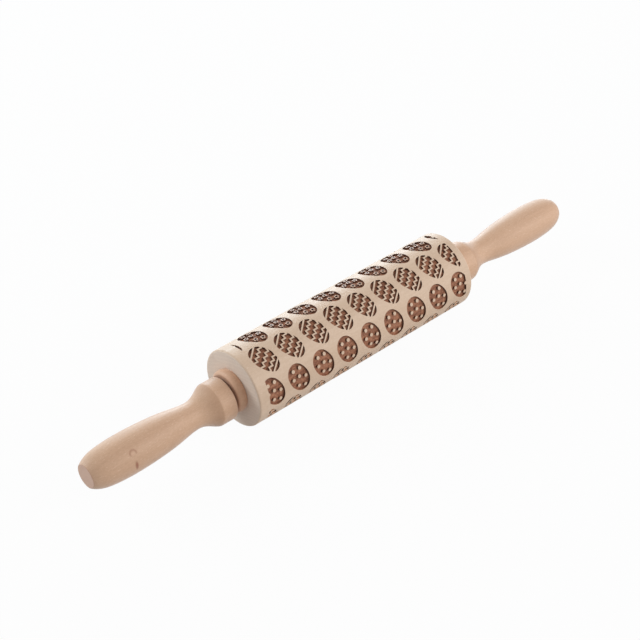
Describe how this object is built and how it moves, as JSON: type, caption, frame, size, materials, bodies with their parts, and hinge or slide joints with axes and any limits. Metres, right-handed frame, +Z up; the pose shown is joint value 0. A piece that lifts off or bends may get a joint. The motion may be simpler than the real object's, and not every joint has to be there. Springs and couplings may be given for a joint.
{
  "type": "embossed rolling pin",
  "caption": "Wooden rolling pin with an engraved roller that turns freely between two turned handles, for pressing a pattern into dough.",
  "frame": {"origin": "on the table under the middle of the roller: the bottom centre of the whole pin's box", "axes": "+X along the pin towards the right handle (the far one in the picture), +Z up"},
  "size_m": [0.35, 0.045, 0.045],
  "materials": {
    "roller_wood": "sanded unfinished beech with a burnt engraving",
    "bush_wood": "sanded unfinished beech",
    "rod_wood": "planed beech dowel",
    "handle_wood": "sanded unfinished beech"
  },
  "bodies": {
    "roller": {"roller": "roller_wood", "left_end_bush": "bush_wood", "right_end_bush": "bush_wood"},
    "handles": {"axle_rod": "rod_wood", "left_handle": "handle_wood", "right_handle": "handle_wood"}
  },
  "joints": [
    {"name": "roller_spin", "type": "hinge", "parent": "roller", "child": "handles", "pos_m": [0, 0, 0.0202], "axis": [1, 0, 0], "continuous": true}
  ]
}
